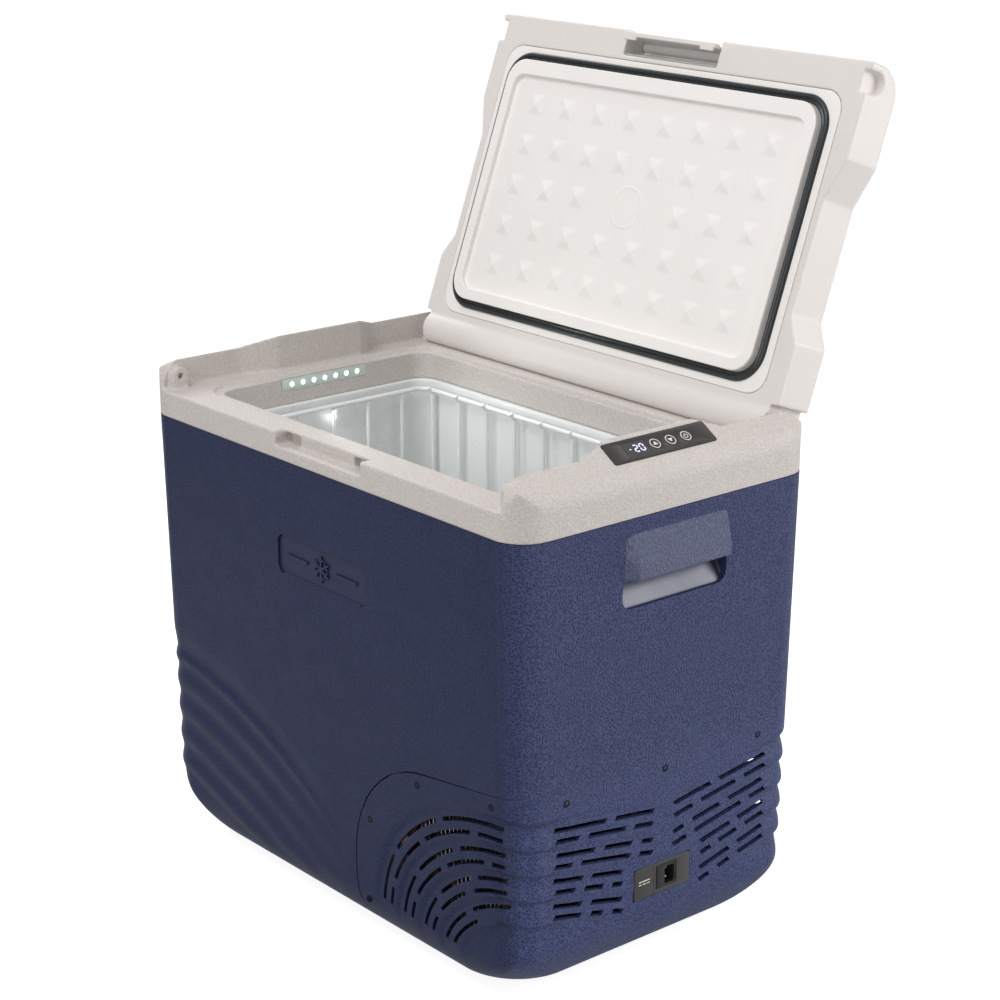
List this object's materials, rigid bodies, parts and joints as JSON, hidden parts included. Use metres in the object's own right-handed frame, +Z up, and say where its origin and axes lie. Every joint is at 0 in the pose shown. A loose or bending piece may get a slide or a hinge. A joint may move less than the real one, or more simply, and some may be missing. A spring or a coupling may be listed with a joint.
{
  "type": "compressor cooler fridge",
  "caption": "Portable compressor cooler fridge with a hinged lid, wire basket, end handles, control panel and louvred machine compartment.",
  "frame": {"origin": "on the floor, under the middle of the cabinet", "axes": "+X towards the end with the controls and the louvres, -Y towards the front with the latch, +Z up; the lid stands open at rest"},
  "size_m": [0.596, 0.4884, 0.8299],
  "materials": {
    "navy_plastic": "navy, fine pebble grain",
    "beige_plastic": "warm light beige, fine grain",
    "lid_plastic": "off-white, satin",
    "liner_plastic": "light grey-white, smooth",
    "foam": "pale yellow polyurethane foam",
    "aluminium": "plain",
    "sheet_steel": "zinc plated",
    "black_paint": "black, satin",
    "copper": "drawn copper tube",
    "black_plastic": "black",
    "circuit_board": "green lacquer",
    "lamp_lens": "clear, lit from behind",
    "wire_cover": "teal insulation",
    "dark_panel": "dark grey, satin",
    "brass": "plain",
    "display": "smoked window",
    "coated_wire": "white plastic-coated wire",
    "gasket_rubber": "dark grey extrusion",
    "rubber": "black",
    "grey_plastic": "grey"
  },
  "bodies": {
    "cabinet": {"outer_shell": "navy_plastic", "vent_cover": "navy_plastic", "top_frame": "beige_plastic", "inner_liner": "liner_plastic", "insulation_foam": "foam", "evaporator_jacket": "aluminium", "evaporator_tube": "aluminium", "machine_bulkhead": "sheet_steel", "base_plate": "sheet_steel", "compressor": "black_paint", "compressor_mount_1": "rubber", "compressor_mount_2": "rubber", "compressor_mount_3": "rubber", "condenser_fins": "aluminium", "condenser_tube": "copper", "fan_frame": "black_plastic", "drive_board": "circuit_board", "board_box": "black_plastic", "discharge_pipe": "copper", "suction_pipe": "copper", "filter_drier": "copper", "dc_panel": "dark_panel", "dc_socket": "black_plastic", "dc_pin_1": "brass", "dc_pin_2": "brass", "handle_right": "navy_plastic", "handle_left": "navy_plastic", "control_panel": "dark_panel", "display_window": "display", "display_board": "circuit_board", "led_lens": "lamp_lens", "led_board": "circuit_board", "temperature_probe": "sheet_steel", "wiring_harness": "wire_cover", "cover_screws_front": "black_paint", "cover_screws_end": "black_paint", "cover_screws_rear": "black_paint", "badge_plate": "navy_plastic", "foot_1": "rubber", "foot_2": "rubber", "foot_3": "rubber", "foot_4": "rubber", "foot_5": "rubber", "hinge_pin_left": "sheet_steel", "hinge_pin_right": "sheet_steel"},
    "lid": {"lid_shell": "lid_plastic", "lid_foam": "foam", "lid_inner_panel": "lid_plastic", "lid_gasket": "gasket_rubber", "latch_backplate": "grey_plastic", "latch_pin": "sheet_steel"},
    "latch": {"latch_handle": "beige_plastic"},
    "fan": {"fan_rotor": "black_plastic"},
    "up_button": {"button_up": "dark_panel"},
    "down_button": {"button_down": "dark_panel"},
    "power_button": {"button_power": "dark_panel"},
    "basket": {"basket_front": "coated_wire", "basket_rear": "coated_wire", "basket_left": "coated_wire", "basket_right": "coated_wire", "basket_floor": "coated_wire", "basket_riser": "coated_wire", "basket_step": "coated_wire"}
  },
  "joints": [
    {"name": "lid_hinge", "type": "hinge", "parent": "cabinet", "child": "lid", "pos_m": [0, 0.164, 0.5002], "axis": [-1, 0, 0], "range_deg": [-110, 0]},
    {"name": "latch_pivot", "type": "hinge", "parent": "lid", "child": "latch", "pos_m": [0, 0.29436, 0.80925], "axis": [-1, 0, 0], "range_deg": [-6, 40]},
    {"name": "fan_spin", "type": "hinge", "parent": "cabinet", "child": "fan", "pos_m": [0.196, -0.124, 0.092], "axis": [0, 1, 0], "continuous": true},
    {"name": "up_press", "type": "slide", "parent": "cabinet", "child": "up_button", "axis": [-0.527, 0, -0.8499], "range_m": [0, 0.0006], "stiffness_N_per_m": 400},
    {"name": "down_press", "type": "slide", "parent": "cabinet", "child": "down_button", "axis": [-0.527, 0, -0.8499], "range_m": [0, 0.0006], "stiffness_N_per_m": 400},
    {"name": "power_press", "type": "slide", "parent": "cabinet", "child": "power_button", "axis": [-0.527, 0, -0.8499], "range_m": [0, 0.0006], "stiffness_N_per_m": 400},
    {"name": "basket_lift", "type": "slide", "parent": "cabinet", "child": "basket", "axis": [0, 0, 1], "range_m": [0, 0.42]}
  ]
}
